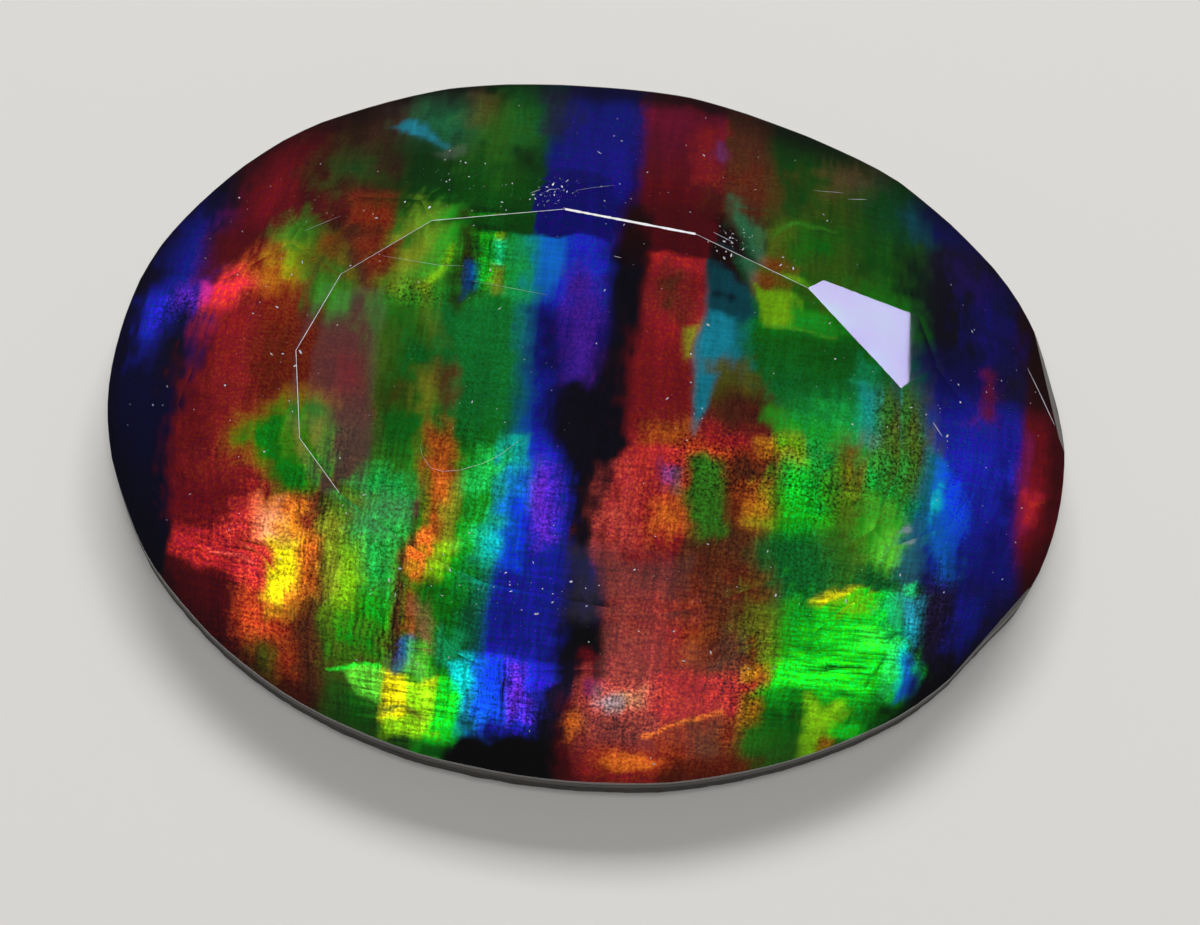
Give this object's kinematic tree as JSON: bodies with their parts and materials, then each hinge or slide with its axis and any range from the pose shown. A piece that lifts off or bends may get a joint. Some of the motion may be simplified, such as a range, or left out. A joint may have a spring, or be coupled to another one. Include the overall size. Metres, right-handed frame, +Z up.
{
  "type": "ammolite specimen",
  "caption": "Faceted oval gemstone for display or setting: iridescent fossil shell sheet under a clear cut crystal cap, on a dark shale backing with a flat base.",
  "frame": {"origin": "middle of the bounding box on the flat base that the stone rests on", "axes": "+X along the oval's length, +Y across it, +Z up through the table"},
  "size_m": [0.02, 0.015, 0.0041],
  "materials": {
    "clear_crystal": "polished clear quartz with lightly worn facet edges",
    "ammolite": "iridescent fossil shell in bands of red, green, blue and black",
    "shale": "dark matte shale, ground flat"
  },
  "bodies": {
    "root": {"crystal_cap": "clear_crystal", "ammolite_sheet": "ammolite", "shale_backing": "shale"}
  },
  "joints": []
}
